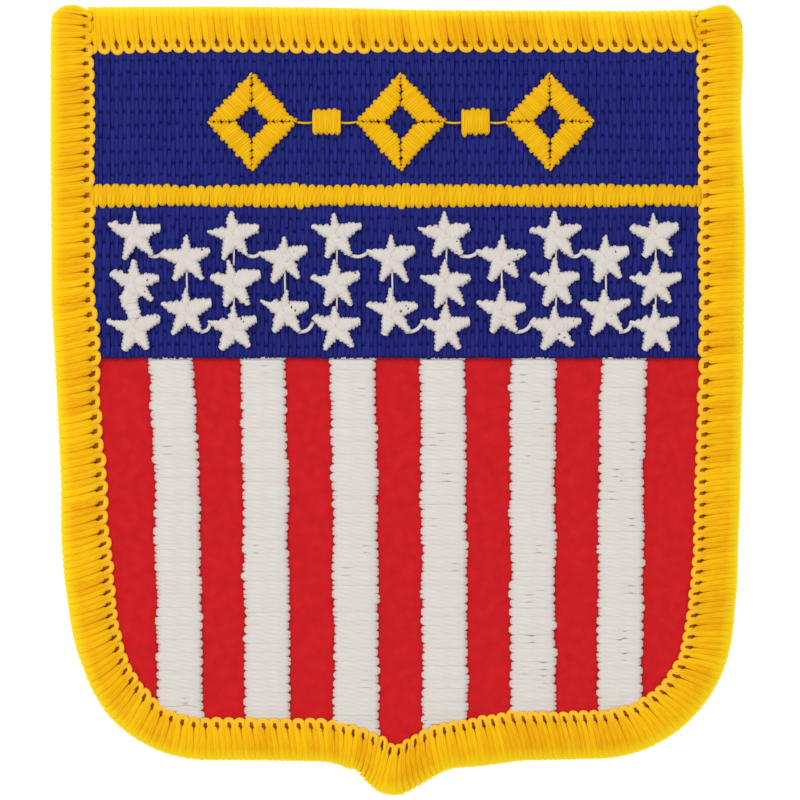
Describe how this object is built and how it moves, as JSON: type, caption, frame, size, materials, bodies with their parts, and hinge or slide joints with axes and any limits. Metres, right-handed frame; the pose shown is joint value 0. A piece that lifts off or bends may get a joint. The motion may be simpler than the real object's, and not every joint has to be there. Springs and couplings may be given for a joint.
{
  "type": "embroidered shield patch",
  "caption": "Embroidered cloth patch in the shape of a shield, with a thick overlocked border, satin stripes, a band of stars, a bar, and open lozenges on the upper field.",
  "frame": {"origin": "under the middle of the patch's outline, in the plane of the border's flat back", "axes": "+Z out of the embroidered face, +Y towards the straight top edge, +X to the right seen from the face"},
  "size_m": [0.0636, 0.0724, 0.0027],
  "materials": {
    "gold_thread": "satin polyester embroidery thread, golden yellow",
    "white_thread": "satin polyester embroidery thread, soft white",
    "navy_thread": "fill stitching in dark blue polyester thread",
    "red_twill": "matt red twill with a fine diagonal rib"
  },
  "bodies": {
    "root": {"ground_cloth": "red_twill", "merrowed_border": "gold_thread", "chief_panel": "navy_thread", "star_panel": "navy_thread", "gold_bar": "gold_thread", "white_stripe_1": "white_thread", "white_stripe_2": "white_thread", "white_stripe_3": "white_thread", "white_stripe_4": "white_thread", "white_stripe_5": "white_thread", "white_stripe_6": "white_thread", "star_01": "white_thread", "star_02": "white_thread", "star_03": "white_thread", "star_04": "white_thread", "star_05": "white_thread", "star_06": "white_thread", "star_07": "white_thread", "star_08": "white_thread", "star_09": "white_thread", "star_10": "white_thread", "star_11": "white_thread", "star_12": "white_thread", "star_13": "white_thread", "star_14": "white_thread", "star_15": "white_thread", "star_16": "white_thread", "star_17": "white_thread", "star_18": "white_thread", "star_19": "white_thread", "star_20": "white_thread", "star_21": "white_thread", "star_22": "white_thread", "star_23": "white_thread", "star_24": "white_thread", "star_25": "white_thread", "star_26": "white_thread", "star_27": "white_thread", "star_28": "white_thread", "lozenge_1": "gold_thread", "lozenge_2": "gold_thread", "lozenge_3": "gold_thread", "pellet_1": "gold_thread", "pellet_2": "gold_thread"}
  },
  "joints": []
}
